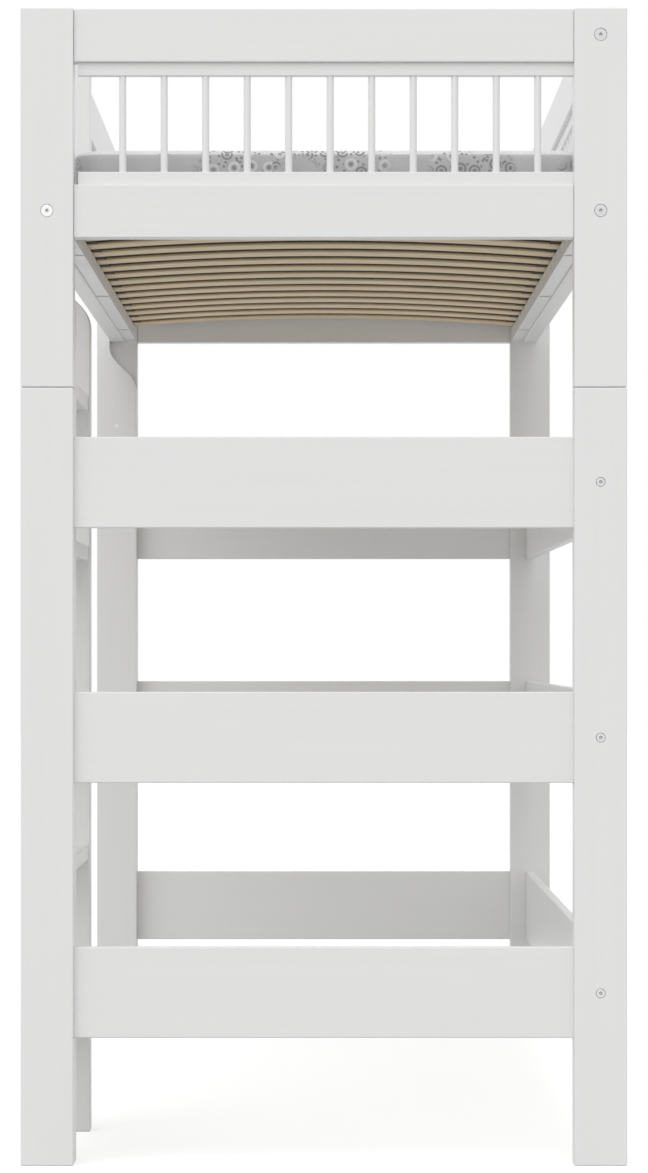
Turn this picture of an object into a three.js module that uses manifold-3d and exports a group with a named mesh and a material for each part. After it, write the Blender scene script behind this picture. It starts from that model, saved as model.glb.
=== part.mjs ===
// Loft bed with an upright ladder, guards of round bars, bowed slats and a foam mattress.
// Millimetres. X runs across the bed, Y along it, Z up from the floor.
// The ladder stands at the front of the left side, -X.

import * as THREE from 'three';
import { mergeVertices } from 'three/addons/utils/BufferGeometryUtils.js';
import Module from 'manifold-3d';

const wasm = await Module();
wasm.setup();

// Whole bed
const bedWidth = 1056;
const bedLength = 2106;
const bedHeight = 2016;

// Fits and cuts
const fitGap = 0.3;
const seatGap = 0.3;
const cutOverrun = 2;

// Corner posts, each of two stacked lengths
const postWidth = 92;
const postDepth = 48;
const postJointBelowRail = 261.5;
const arris = 3;

// Pins glued into the upper length of a post, which enter the lower one
const pinDiameter = 10;
const pinLength = 60;
const pinSpacing = 44;
const pinSides = 6;

// Boards: top boards, guard boards and the rails at bed level
const boardHeight = 93;
const boardThickness = 32;

// Lower rails of both ends and of the right side
const lowerRailHeight = 159;
const lowerRailThickness = 18;
const lowestRailCentre = 300.5;
const highestRailBelowBedRail = 426;
const lowerRailCount = 3;

// Tenons of the end boards and end rails, let into the posts
const tenonLength = 20;
const boardTenonThickness = 16;
const boardTenonShoulder = 14;
const lowerTenonThickness = 10;
const lowerTenonShoulder = 20;

// Guard units: a top rail, a bottom rail and a row of round bars
const guardHeight = 213.5;
const guardRailHeight = 23;
const guardRailDepth = 16;
const guardRailArris = 1.5;
const barDiameter = 12.5;
const barSocketDepth = 11;
const barPitch = 72.5;
const barSides = 8;
const barSocketSides = 6;
const endGuardGap = 7.3;
const endGuardMargin = 62.3;
const barLeastMargin = 50;

// Slat bearers along the inside of the side rails
const bearerWidth = 27;
const bearerHeight = 30;
const bearerArris = 1;
const bearerRise = 4.5;

// Round screw pockets under the bearers, a little wider than the bearer, so that they break out at its sides
const pocketDiameter = 29;
const pocketDepth = 8;
const pocketFromFace = 317;
const pocketSides = 12;

// Bowed slats
const slatWidth = 62;
const slatThickness = 6.5;
const slatRise = 19;
const slatEndGap = 2;
const slatCount = 16;
const slatSteps = 6;
const firstSlatFromFace = 91;

// Webbing bands over the slat ends, which keep the slats apart
const bandWidth = 34;
const bandThickness = 1.2;
const bandInset = 8;

// Mattress, which lies against the rail away from the ladder
const mattressThickness = 100;
const mattressSideGap = 3;
const mattressLadderGap = 30.5;
const mattressEndGap = 7;
const mattressCornerRadius = 48;
const mattressEdgeRadius = 12;
const mattressCrown = 4;
const mattressDrawIn = 4;
const mattressLengthSteps = 8;

// Ladder uprights and the like board at the rear left post
const uprightThickness = 28;
const entryPostThickness = 48;
const entryPostFromFace = 428;
const shapedCutDrop = 12.5;
const shapedCutHollowRadius = 45;
const shapedCutRoundRadius = 60;
const shapedCutAngle = Math.PI / 4;
const shapedCutSteps = 3;

// Ladder steps, their ends let into the uprights
const stepCount = 5;
const stepThickness = 28;
const firstStepTop = 256;
const lastStepBelowRail = 244.5;
const stepOuterInset = 5;
const stepInnerInset = 3;
const stepHousingDepth = 6;

// Connecting bolts, with a socket head let into the post
const boltDiameter = 6;
const boltSides = 6;
const wideHeadDiameter = 21;
const plainHeadDiameter = 14.4;
const boltHeadThickness = 2.2;
const boltHeadRecess = 0.4;
const boltHeadSides = 8;
const socketDiameter = 4.6;
const socketDepth = 3;
const socketSides = 6;
const boltTipPastNut = 3;

// Barrel nuts in the side boards, each screwed on its bolt
const nutFromEnd = 40;
const nutDiameter = 10;
const nutLength = 14;
const nutSides = 6;

// Countersunk wood screw that holds the rear support board to its post
const screwDiameter = 4.5;
const screwHeadDiameter = 9;
const screwHeadDepth = 2.6;
const screwHeadSink = 0.5;
const screwSides = 6;
const screwTipLength = 4;
const screwLength = 48;
const screwBelowRail = 196.5;

// Values from start to end in a number of equal steps
function evenly(start, end, steps) {
  return Array.from({ length: steps + 1 }, (_, i) => start + i * (end - start) / steps);
}

// Places that follow from the sizes
const outerX = bedWidth / 2;
const innerX = outerX - postWidth;
const postX = outerX - postWidth / 2;
const frontY = -bedLength / 2;
const rearY = bedLength / 2;
const innerFrontY = frontY + postDepth;
const innerRearY = rearY - postDepth;
const endPlaneY = rearY - postDepth / 2;
const sideLength = innerRearY - innerFrontY;
const railInnerX = postX - boardThickness / 2;
const railOuterX = postX + boardThickness / 2;
const topBoardZ = bedHeight - boardHeight / 2;
const topBoardBottom = bedHeight - boardHeight;
const bedRailTop = topBoardBottom - guardHeight;
const bedRailZ = bedRailTop - boardHeight / 2;
const bedRailBottom = bedRailTop - boardHeight;
const lowerPostLength = bedRailBottom - postJointBelowRail;
const bearerBottom = bedRailBottom + bearerRise;
const bearerTop = bearerBottom + bearerHeight;
const slatSeatZ = bearerTop + seatGap;
const slatLength = 2 * (railInnerX - slatEndGap);
const entryFrontY = frontY + entryPostFromFace;
const entryRearY = entryFrontY + entryPostThickness;
const mattressLeft = mattressLadderGap - railInnerX;
const mattressRight = railInnerX - mattressSideGap;
const mattressLength = 2 * (innerRearY - mattressEndGap);
const highestRailCentre = bedRailBottom - highestRailBelowBedRail;
const lowerRailHeights = evenly(lowestRailCentre, highestRailCentre, lowerRailCount - 1);
const stepTops = evenly(firstStepTop, bedRailBottom - lastStepBelowRail, stepCount - 1);
const screwHeight = bedRailBottom - screwBelowRail;

// Materials
const lacquer = new THREE.MeshStandardMaterial({ color: 0xf0f1f1, roughness: 0.42, metalness: 0 });
const birch = new THREE.MeshStandardMaterial({ color: 0xcfae84, roughness: 0.6, metalness: 0 });
const zinc = new THREE.MeshStandardMaterial({ color: 0xd9dadb, roughness: 0.3, metalness: 1 });
const cover = new THREE.MeshStandardMaterial({ color: 0xb4b6b9, roughness: 0.95, metalness: 0 });

// Unit directions
const unitX = new THREE.Vector3(1, 0, 0);
const unitY = new THREE.Vector3(0, 1, 0);
const unitZ = new THREE.Vector3(0, 0, 1);
const backwards = unitY.clone().negate();

// Turns a section drawn in XY and run along Z onto the axis that the piece runs along
const turns = {
  x: new THREE.Matrix4().makeBasis(unitY, unitZ, unitX),
  y: new THREE.Matrix4().makeBasis(unitZ, unitX, unitY),
  z: new THREE.Matrix4(),
};

// Turns an outline drawn in XY, read as X and Z, so that its thickness runs along -Y
const upright = new THREE.Matrix4().makeBasis(unitX, unitZ, backwards);

// A closed mesh as a solid for joining and cutting
function toSolid(geometry) {
  const bare = geometry.clone();
  bare.deleteAttribute('normal');
  bare.deleteAttribute('uv');
  const merged = mergeVertices(bare);
  const kept = [];
  const index = merged.index.array;
  for (let i = 0; i < index.length; i += 3) {
    const [a, b, c] = [index[i], index[i + 1], index[i + 2]];
    if (a !== b && b !== c && c !== a) kept.push(a, b, c);
  }
  return new wasm.Manifold(new wasm.Mesh({
    numProp: 3,
    vertProperties: new Float32Array(merged.attributes.position.array),
    triVerts: new Uint32Array(kept),
  }));
}

// A solid back as a mesh geometry
function toGeometry(solid) {
  const mesh = solid.getMesh();
  const geometry = new THREE.BufferGeometry();
  geometry.setAttribute('position', new THREE.BufferAttribute(mesh.vertProperties, 3));
  geometry.setIndex(new THREE.BufferAttribute(mesh.triVerts, 1));
  return geometry;
}

function joined(solids) {
  return solids.reduce((sum, solid) => sum.add(solid));
}

function cutBy(solid, cutters) {
  return cutters.length ? solid.subtract(joined(cutters)) : solid;
}

// Rectangle with its corners cut off by the arris
function arrisedSection(width, height, edge) {
  const w = width / 2;
  const h = height / 2;
  return new THREE.Shape([
    new THREE.Vector2(w - edge, -h),
    new THREE.Vector2(w, edge - h),
    new THREE.Vector2(w, h - edge),
    new THREE.Vector2(w - edge, h),
    new THREE.Vector2(edge - w, h),
    new THREE.Vector2(-w, h - edge),
    new THREE.Vector2(-w, edge - h),
    new THREE.Vector2(edge - w, -h),
  ]);
}

function extruded(shape, depth, edge) {
  const geometry = new THREE.ExtrudeGeometry(shape, {
    depth: depth - 2 * edge,
    steps: 1,
    bevelEnabled: edge > 0,
    bevelSegments: 1,
    bevelThickness: edge,
    bevelSize: edge,
    bevelOffset: -edge,
  });
  geometry.translate(0, 0, edge - depth / 2);
  return geometry;
}

// Planed timber with arrises along its run, and at its ends too unless they are left square
function stock(run, size, centre, edge, endEdge = edge) {
  const [sizeX, sizeY, sizeZ] = size;
  const [across, up, along] = {
    x: [sizeY, sizeZ, sizeX],
    y: [sizeZ, sizeX, sizeY],
    z: [sizeX, sizeY, sizeZ],
  }[run];
  const geometry = extruded(arrisedSection(across, up, edge), along, endEdge);
  geometry.applyMatrix4(turns[run]);
  geometry.translate(...centre);
  return toSolid(geometry);
}

function block(size, centre) {
  const geometry = new THREE.BoxGeometry(...size);
  geometry.translate(...centre);
  return toSolid(geometry);
}

// Round rod from one point to another. The turn places its first corner round its axis.
function rod(radius, from, to, sides, turn = Math.PI / sides) {
  const start = new THREE.Vector3(...from);
  const axis = new THREE.Vector3(...to).sub(start);
  const corners = Array.from({ length: sides }, (_, i) => {
    const angle = turn + 2 * Math.PI * i / sides;
    return new THREE.Vector2(radius * Math.cos(angle), radius * Math.sin(angle));
  });
  const geometry = new THREE.ExtrudeGeometry(new THREE.Shape(corners), {
    depth: axis.length(),
    steps: 1,
    bevelEnabled: false,
  });
  geometry.applyQuaternion(new THREE.Quaternion().setFromUnitVectors(unitZ, axis.normalize()));
  geometry.translate(start.x, start.y, start.z);
  return toSolid(geometry);
}

// Turned piece: its profile is listed from the tip to the head, and the head's face lies at the point
function turned(profile, sides, point, out) {
  const points = profile.map(([radius, height]) => new THREE.Vector2(radius, height));
  const geometry = new THREE.LatheGeometry(points, sides);
  geometry.applyQuaternion(new THREE.Quaternion().setFromUnitVectors(unitY, out));
  geometry.translate(point.x, point.y, point.z);
  return toSolid(geometry);
}

function place(parent, name, material, solid) {
  const geometry = toGeometry(solid);
  geometry.computeBoundingBox();
  const centre = geometry.boundingBox.getCenter(new THREE.Vector3()).round();
  geometry.translate(-centre.x, -centre.y, -centre.z);
  const mesh = new THREE.Mesh(geometry, material.clone());
  mesh.name = name;
  mesh.position.copy(centre);
  parent.add(mesh);
}

// Connecting bolts. Each joins a post to the end of a side board, through to its barrel nut.
// side is -1 at the left and 1 at the right, way is -1 where the head looks to the front.
function cornerConnectors(side, way, heights, headDiameter, names) {
  const corner = `${way < 0 ? 'front' : 'rear'}_${side < 0 ? 'left' : 'right'}`;
  return heights.map((z, i) => ({
    name: `bolt_${corner}_${names[i]}`,
    side,
    way,
    z,
    headDiameter,
    faceY: way * rearY,
    jointY: way * innerRearY,
  }));
}

const sideHeights = [bedRailZ, topBoardZ];
const sideNames = ['bed_rail', 'guard_board'];
const lowerNames = lowerRailHeights.map((_, i) => `lower_rail_${i + 1}`);
const connectors = [
  ...cornerConnectors(-1, -1, [bedRailZ], wideHeadDiameter, sideNames),
  ...cornerConnectors(-1, 1, sideHeights, wideHeadDiameter, sideNames),
  ...cornerConnectors(1, -1, sideHeights, wideHeadDiameter, sideNames),
  ...cornerConnectors(1, 1, sideHeights, wideHeadDiameter, sideNames),
  ...cornerConnectors(1, -1, lowerRailHeights, plainHeadDiameter, lowerNames),
  ...cornerConnectors(1, 1, lowerRailHeights, plainHeadDiameter, lowerNames),
  {
    name: 'bolt_entry_post_guard_board',
    side: -1,
    way: -1,
    z: topBoardZ,
    headDiameter: wideHeadDiameter,
    faceY: entryFrontY,
    jointY: entryRearY,
  },
];

// Place on a connector's axis, a distance inwards from the joint of post and board
function onAxis(item, inwards) {
  return [item.side * postX, item.jointY - item.way * inwards, item.z];
}

const boltReach = nutFromEnd + nutDiameter / 2 + boltTipPastNut;

function nutSolid(item, gap, near, far) {
  const nutY = item.jointY - item.way * nutFromEnd;
  const ends = [near, far].map((reach) => [item.side * (postX + reach), nutY, item.z]);
  return rod(nutDiameter / 2 + gap, ...ends, nutSides);
}

function boltSolid(item) {
  const top = new THREE.Vector3(item.side * postX, item.faceY - item.way * boltHeadRecess, item.z);
  const out = new THREE.Vector3(0, item.way, 0);
  const length = Math.abs(item.faceY - item.jointY) - boltHeadRecess + boltReach;
  const under = top.clone().addScaledVector(out, -boltHeadThickness);
  const tip = top.clone().addScaledVector(out, -length);
  const socketTop = top.clone().addScaledVector(out, cutOverrun);
  const socketEnd = top.clone().addScaledVector(out, -socketDepth);
  return rod(item.headDiameter / 2, top.toArray(), under.toArray(), boltHeadSides)
    .add(rod(boltDiameter / 2, top.toArray(), tip.toArray(), boltSides))
    .add(nutSolid(item, 0, -nutLength / 2, nutLength / 2))
    .subtract(rod(socketDiameter / 2, socketTop.toArray(), socketEnd.toArray(), socketSides));
}

// Bore through the post for the shank, with the recess for the head
function postBores(item) {
  const outside = [item.side * postX, item.faceY + item.way * cutOverrun, item.z];
  const recessEnd = [
    item.side * postX,
    item.faceY - item.way * (boltHeadRecess + boltHeadThickness + fitGap),
    item.z,
  ];
  return [
    rod(item.headDiameter / 2 + fitGap, outside, recessEnd, boltHeadSides),
    rod(boltDiameter / 2 + fitGap, outside, onAxis(item, cutOverrun), boltSides),
  ];
}

// Bore in the end of the board, crossed by the bore for the barrel nut
function boardBores(item, thickness) {
  return [
    rod(boltDiameter / 2 + fitGap, onAxis(item, -cutOverrun), onAxis(item, boltReach + fitGap), boltSides),
    nutSolid(item, fitGap, -thickness / 2 - cutOverrun, nutLength / 2 + fitGap),
  ];
}

// Countersunk screw, or with air round it the bore that it sits in
function screwProfile(gap) {
  const radius = screwDiameter / 2 + gap;
  const end = screwLength + gap;
  return [
    [0, -end],
    [radius, screwTipLength - end],
    [radius, -screwHeadDepth - gap],
    [screwHeadDiameter / 2 + gap, -gap],
  ];
}

const screwPoint = new THREE.Vector3(-postX, innerRearY - uprightThickness + screwHeadSink, screwHeight);

function screwSolid() {
  return turned([...screwProfile(0), [0, 0]], screwSides, screwPoint, backwards);
}

function screwBore() {
  const mouth = screwHeadSink + cutOverrun;
  const profile = [...screwProfile(fitGap), [screwHeadDiameter / 2 + fitGap, mouth], [0, mouth]];
  return turned(profile, screwSides, screwPoint, backwards);
}

// Corner posts
const frame = new THREE.Group();
const joints = new THREE.Group();

// Pins across the joint of a post, or with air round them the bores that they enter
function jointPins(x, y, gap) {
  const reach = pinLength / 2 + gap;
  return [-pinSpacing / 2, pinSpacing / 2].map((offset) => rod(
    pinDiameter / 2 + gap,
    [x + offset, y, lowerPostLength - reach],
    [x + offset, y, lowerPostLength + reach],
    pinSides,
  ));
}

function endPieces() {
  const boards = [topBoardZ, bedRailZ].map((z) => ({
    z,
    height: boardHeight,
    thickness: boardThickness,
    tenonHeight: boardHeight - 2 * boardTenonShoulder,
    tenonThickness: boardTenonThickness,
    endEdge: arris,
  }));
  const rails = lowerRailHeights.map((z) => ({
    z,
    height: lowerRailHeight,
    thickness: lowerRailThickness,
    tenonHeight: lowerRailHeight - 2 * lowerTenonShoulder,
    tenonThickness: lowerTenonThickness,
    endEdge: 0,
  }));
  return { boards, rails };
}

const ends = endPieces();

function mortise(side, y, piece) {
  const depth = tenonLength + fitGap + cutOverrun;
  const size = [depth, piece.tenonThickness + 2 * fitGap, piece.tenonHeight + 2 * fitGap];
  return block(size, [side * (innerX + depth / 2 - cutOverrun), y, piece.z]);
}

const corners = [
  { name: 'front_left', side: -1, way: -1 },
  { name: 'front_right', side: 1, way: -1 },
  { name: 'rear_left', side: -1, way: 1 },
  { name: 'rear_right', side: 1, way: 1 },
];

function postCutters(corner, bottom, top) {
  const within = (z) => z > bottom && z < top;
  const y = corner.way * endPlaneY;
  const bolts = connectors.filter((item) => item.side === corner.side && item.faceY === corner.way * rearY);
  return [
    ...[...ends.boards, ...ends.rails].filter((piece) => within(piece.z))
      .map((piece) => mortise(corner.side, y, piece)),
    ...bolts.filter((item) => within(item.z)).flatMap(postBores),
    ...(corner.name === 'rear_left' && within(screwHeight) ? [screwBore()] : []),
  ];
}

for (const corner of corners) {
  const x = corner.side * postX;
  const y = corner.way * endPlaneY;
  const upperPostLength = bedHeight - lowerPostLength;
  const lower = stock('z', [postWidth, postDepth, lowerPostLength], [x, y, lowerPostLength / 2], arris);
  const upperMiddle = [x, y, bedHeight - upperPostLength / 2];
  const upper = stock('z', [postWidth, postDepth, upperPostLength], upperMiddle, arris);
  place(frame, `lower_post_${corner.name}`, lacquer, cutBy(
    lower, [...postCutters(corner, 0, lowerPostLength), ...jointPins(x, y, fitGap)],
  ));
  place(frame, `upper_post_${corner.name}`, lacquer, joined([
    cutBy(upper, postCutters(corner, lowerPostLength, bedHeight)), ...jointPins(x, y, 0),
  ]));
}

// Boards and rails of the two ends, with a tenon at each end
function endBoard(y, piece) {
  const size = [2 * innerX, piece.thickness, piece.height];
  const body = stock('x', size, [0, y, piece.z], arris, piece.endEdge);
  const reach = 2 * (innerX + tenonLength);
  return body.add(block([reach, piece.tenonThickness, piece.tenonHeight], [0, y, piece.z]));
}

for (const [name, way] of [['front', -1], ['rear', 1]]) {
  const y = way * endPlaneY;
  place(frame, `${name}_top_board`, lacquer, endBoard(y, ends.boards[0]));
  place(frame, `${name}_bed_rail`, lacquer, endBoard(y, ends.boards[1]));
  ends.rails.forEach((piece, i) => {
    place(frame, `${name}_lower_rail_${i + 1}`, lacquer, endBoard(y, piece));
  });
}

// Side boards and rails between the posts
function sideBoard(side, z, startY, endY, height, thickness, endEdge) {
  const bolts = connectors.filter((item) => item.side === side && item.z === z);
  const size = [thickness, endY - startY, height];
  const body = stock('y', size, [side * postX, (startY + endY) / 2, z], arris, endEdge);
  return cutBy(body, bolts.flatMap((item) => boardBores(item, thickness)));
}

// Slat bearers with their screw pockets
const pocketPlaces = evenly(frontY + pocketFromFace, rearY - pocketFromFace, 2);

function pocketCutter(side, y) {
  const x = side * (railInnerX - bearerWidth / 2);
  return rod(
    pocketDiameter / 2,
    [x, y, bearerBottom - cutOverrun],
    [x, y, bearerBottom + pocketDepth],
    pocketSides,
  );
}

const base = new THREE.Group();

for (const [name, side] of [['left', -1], ['right', 1]]) {
  place(frame, `${name}_bed_rail`, lacquer, sideBoard(
    side, bedRailZ, innerFrontY, innerRearY, boardHeight, boardThickness, arris,
  ));
  const bearer = stock(
    'y',
    [bearerWidth, sideLength, bearerHeight],
    [side * (railInnerX - bearerWidth / 2), 0, bearerBottom + bearerHeight / 2],
    bearerArris,
    0,
  );
  const pockets = pocketPlaces.map((y) => pocketCutter(side, y));
  place(base, `${name}_slat_bearer`, lacquer, cutBy(bearer, pockets));
}

place(frame, 'right_guard_board', lacquer, sideBoard(
  1, topBoardZ, innerFrontY, innerRearY, boardHeight, boardThickness, arris,
));
place(frame, 'left_guard_board', lacquer, sideBoard(
  -1, topBoardZ, entryRearY, innerRearY, boardHeight, boardThickness, arris,
));
lowerRailHeights.forEach((z, i) => {
  place(frame, `right_lower_rail_${i + 1}`, lacquer, sideBoard(
    1, z, innerFrontY, innerRearY, lowerRailHeight, lowerRailThickness, 0,
  ));
});

// Guard units: the bars stand glued in the bottom rail as one comb, and enter the top rail
const guards = new THREE.Group();

function guardUnit(name, run, line, start, end, places) {
  const at = (along, z) => (run === 'x' ? [along, line, z] : [line, along, z]);
  const middle = (start + end) / 2;
  const length = end - start;
  const plan = run === 'x' ? [length, guardRailDepth] : [guardRailDepth, length];
  const size = [...plan, guardRailHeight];
  const topRailZ = topBoardBottom - guardRailHeight / 2;
  const bottomRailZ = bedRailTop + guardRailHeight / 2;
  const topMouth = topBoardBottom - guardRailHeight;
  const bottomMouth = bedRailTop + guardRailHeight;
  const radius = barDiameter / 2;
  const socketRadius = (radius + fitGap) / Math.cos(Math.PI / barSocketSides);
  const socketTurn = run === 'x' ? 0 : Math.PI / 2;
  const topHoles = places.map((along) => rod(
    socketRadius,
    at(along, topMouth - cutOverrun),
    at(along, topMouth + barSocketDepth),
    barSocketSides,
    socketTurn,
  ));
  const bars = places.map((along) => rod(
    radius,
    at(along, bottomMouth - barSocketDepth),
    at(along, topMouth + barSocketDepth - fitGap),
    barSides,
  ));
  const top = stock(run, size, at(middle, topRailZ), guardRailArris, 0);
  const bottom = stock(run, size, at(middle, bottomRailZ), guardRailArris, 0);
  place(guards, `${name}_guard_top_rail`, lacquer, cutBy(top, topHoles));
  place(guards, `${name}_guard_bars`, lacquer, joined([bottom, ...bars]));
}

// Places of the bars back from the last one, as many as leave the least margin at the start
function barsBackFrom(last, start) {
  const count = 1 + Math.floor((last - start - barLeastMargin) / barPitch);
  return Array.from({ length: count }, (_, i) => last - (count - 1 - i) * barPitch);
}

function centredBars(start, end) {
  const places = barsBackFrom(end - barLeastMargin, start);
  const shift = (start + end - places[0] - places[places.length - 1]) / 2;
  return places.map((along) => along + shift);
}

const endGuardStart = endGuardGap - innerX;
const endBars = barsBackFrom(innerX - endGuardMargin, endGuardStart);
guardUnit('front', 'x', -endPlaneY, endGuardStart, innerX, endBars);
guardUnit('rear', 'x', endPlaneY, endGuardStart, innerX, endBars);
guardUnit('right', 'y', postX, innerFrontY, innerRearY, centredBars(innerFrontY, innerRearY));
guardUnit('left', 'y', -postX, entryRearY, innerRearY, centredBars(entryRearY, innerRearY));

// Bowed slats. The bow is a flat arch with straight steps between the points.
function slatPoint(i) {
  const x = -slatLength / 2 + i * slatLength / slatSteps;
  const share = 2 * x / slatLength;
  return { x, z: slatSeatZ + slatRise * (1 - share * share) };
}
const slatPoints = Array.from({ length: slatSteps + 1 }, (_, i) => slatPoint(i));

function slatTopAt(x) {
  const i = Math.min(slatSteps - 1, Math.max(0, Math.floor((x + slatLength / 2) * slatSteps / slatLength)));
  const [a, b] = [slatPoints[i], slatPoints[i + 1]];
  return slatThickness + a.z + (b.z - a.z) * (x - a.x) / (b.x - a.x);
}

const slatOutline = new THREE.Shape([
  ...slatPoints.map(({ x, z }) => new THREE.Vector2(x, z)),
  ...[...slatPoints].reverse().map(({ x, z }) => new THREE.Vector2(x, z + slatThickness)),
]);
const firstSlatY = frontY + firstSlatFromFace;
const slatPitch = (bedLength - 2 * firstSlatFromFace) / (slatCount - 1);
const slats = Array.from({ length: slatCount }, (_, i) => {
  const geometry = extruded(slatOutline, slatWidth, 0);
  geometry.applyMatrix4(upright);
  geometry.translate(0, firstSlatY + i * slatPitch, 0);
  return toSolid(geometry);
});

const slatBands = [-1, 1].map((side) => block(
  [bandWidth, 2 * (slatWidth / 2 - firstSlatY), bandThickness],
  [
    side * (slatLength / 2 - bandInset - bandWidth / 2),
    0,
    slatSeatZ + slatThickness - bandThickness / 2,
  ],
));
place(base, 'bed_slats', birch, joined([...slatBands, ...slats]));

// Mattress: crowned top, rounded edges and corners, sides drawn in, underside laid over the slats
function mattressGeometry() {
  const left = mattressLeft;
  const right = mattressRight;
  const front = -mattressLength / 2;
  const rear = mattressLength / 2;
  const edge = mattressEdgeRadius;
  const corner = mattressCornerRadius;
  const crownZ = Math.max(...slatPoints.map(({ z }) => z)) + slatThickness + seatGap;
  const topZ = crownZ + mattressThickness;
  const breaks = slatPoints.map(({ x }) => x).filter((x) => x > left + corner && x < right - corner);
  const linesX = [left, left + edge, left + corner, ...breaks, right - corner, right - edge, right];
  const between = evenly(front + corner, rear - corner, mattressLengthSteps);
  const linesY = [front, front + edge, ...between, rear - edge, rear];
  const levels = 4;
  const middleX = (left + right) / 2;
  const halfWidth = (right - left) / 2;
  const halfLength = mattressLength / 2;
  const geometry = new THREE.BoxGeometry(1, 1, 1, linesX.length - 1, linesY.length - 1, levels);
  const position = geometry.attributes.position;
  for (let i = 0; i < position.count; i += 1) {
    const column = Math.round((position.getX(i) + 0.5) * (linesX.length - 1));
    const row = Math.round((position.getY(i) + 0.5) * (linesY.length - 1));
    const level = Math.round((position.getZ(i) + 0.5) * levels);
    const onEdge = column === 0 || column === linesX.length - 1 || row === 0 || row === linesY.length - 1;
    const bevel = edge * (1 - Math.SQRT1_2);
    const insets = [bevel, 0, mattressDrawIn, 0, bevel];
    const across = linesX[column] - middleX;
    const along = linesY[row];
    const nearX = Math.max(0, Math.abs(across) - (halfWidth - corner));
    const nearY = Math.max(0, Math.abs(along) - (halfLength - corner));
    const reach = Math.max(nearX, nearY);
    const round = nearX > 0 && nearY > 0 ? reach / Math.hypot(nearX, nearY) : 1;
    const pull = onEdge ? round * (reach - insets[level]) / reach : round;
    const x = middleX + Math.sign(across) * (Math.abs(across) + nearX * (pull - 1));
    const y = Math.sign(along) * (Math.abs(along) + nearY * (pull - 1));
    const bottomZ = slatTopAt(x) + seatGap;
    const crown = mattressCrown * (1 - (across / halfWidth) ** 4) * (1 - (along / halfLength) ** 4);
    const rise = onEdge ? bevel : 0;
    const heights = [
      bottomZ + rise,
      bottomZ + edge,
      (bottomZ + topZ) / 2,
      topZ - edge,
      topZ + crown - rise,
    ];
    position.setXYZ(i, x, y, heights[level]);
  }
  return geometry;
}
place(base, 'mattress', cover, toSolid(mattressGeometry()));

// Uprights, cut to a flowing line under the side rail so that a tongue passes outside it
const ladder = new THREE.Group();
const tongueX = -railOuterX - fitGap;

function shapedEdge() {
  const top = bedRailBottom - shapedCutDrop;
  const sweep = 1 - Math.cos(shapedCutAngle);
  const hollowX = tongueX + shapedCutHollowRadius * sweep;
  const hollowZ = top - shapedCutHollowRadius * Math.sin(shapedCutAngle);
  const roundX = -innerX - shapedCutRoundRadius * sweep;
  const roundZ = hollowZ - (roundX - hollowX) * Math.tan(shapedCutAngle);
  const footZ = roundZ - shapedCutRoundRadius * Math.sin(shapedCutAngle);
  const angles = evenly(0, shapedCutAngle, shapedCutSteps);
  const round = angles.map((angle) => new THREE.Vector2(
    -innerX - shapedCutRoundRadius * (1 - Math.cos(angle)),
    footZ + shapedCutRoundRadius * Math.sin(angle),
  ));
  const hollow = [...angles].reverse().map((angle) => new THREE.Vector2(
    tongueX + shapedCutHollowRadius * (1 - Math.cos(angle)),
    top - shapedCutHollowRadius * Math.sin(angle),
  ));
  return [...round, ...hollow];
}

function uprightSolid(head, startY, endY) {
  const outline = new THREE.Shape([
    new THREE.Vector2(-outerX, arris),
    new THREE.Vector2(arris - outerX, 0),
    new THREE.Vector2(-innerX - arris, 0),
    new THREE.Vector2(-innerX, arris),
    ...shapedEdge(),
    ...head,
  ]);
  const geometry = extruded(outline, endY - startY, arris);
  geometry.applyMatrix4(upright);
  geometry.translate(0, (startY + endY) / 2, 0);
  return toSolid(geometry);
}

const tongueHead = [
  new THREE.Vector2(tongueX, bedRailTop - arris),
  new THREE.Vector2(tongueX - arris, bedRailTop),
  new THREE.Vector2(arris - outerX, bedRailTop),
  new THREE.Vector2(-outerX, bedRailTop - arris),
];
const entryHead = [
  new THREE.Vector2(tongueX, bedRailTop),
  new THREE.Vector2(-innerX - arris, bedRailTop),
  new THREE.Vector2(-innerX, bedRailTop + arris),
  new THREE.Vector2(-innerX, bedHeight - arris),
  new THREE.Vector2(-innerX - arris, bedHeight),
  new THREE.Vector2(arris - outerX, bedHeight),
  new THREE.Vector2(-outerX, bedHeight - arris),
];

// Ladder steps
const stepLeft = stepOuterInset - outerX;
const stepRight = -innerX - stepInnerInset;
const frontUprightRearY = innerFrontY + uprightThickness;
const stepStartY = frontUprightRearY - stepHousingDepth + fitGap;
const stepEndY = entryFrontY + stepHousingDepth - fitGap;

function stepSolid(top, gap, startY, endY) {
  return stock(
    'y',
    [stepRight - stepLeft + 2 * gap, endY - startY, stepThickness + 2 * gap],
    [(stepLeft + stepRight) / 2, (startY + endY) / 2, top - stepThickness / 2],
    arris,
    0,
  );
}

stepTops.forEach((top, i) => {
  place(ladder, `ladder_step_${i + 1}`, lacquer, stepSolid(top, 0, stepStartY, stepEndY));
});

const frontHousings = stepTops.map((top) => stepSolid(
  top, fitGap, frontUprightRearY - stepHousingDepth, frontUprightRearY + cutOverrun,
));
const entryHousings = stepTops.map((top) => stepSolid(
  top, fitGap, entryFrontY - cutOverrun, entryFrontY + stepHousingDepth,
));
const entryBolts = connectors.filter((item) => item.faceY === entryFrontY);

place(ladder, 'ladder_front_upright', lacquer, cutBy(
  uprightSolid(tongueHead, innerFrontY, frontUprightRearY), frontHousings,
));
place(ladder, 'ladder_entry_post', lacquer, cutBy(
  uprightSolid(entryHead, entryFrontY, entryRearY),
  [...entryHousings, ...entryBolts.flatMap(postBores)],
));
place(ladder, 'rear_support_board', lacquer, cutBy(
  uprightSolid(tongueHead, innerRearY - uprightThickness, innerRearY), [screwBore()],
));

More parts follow.
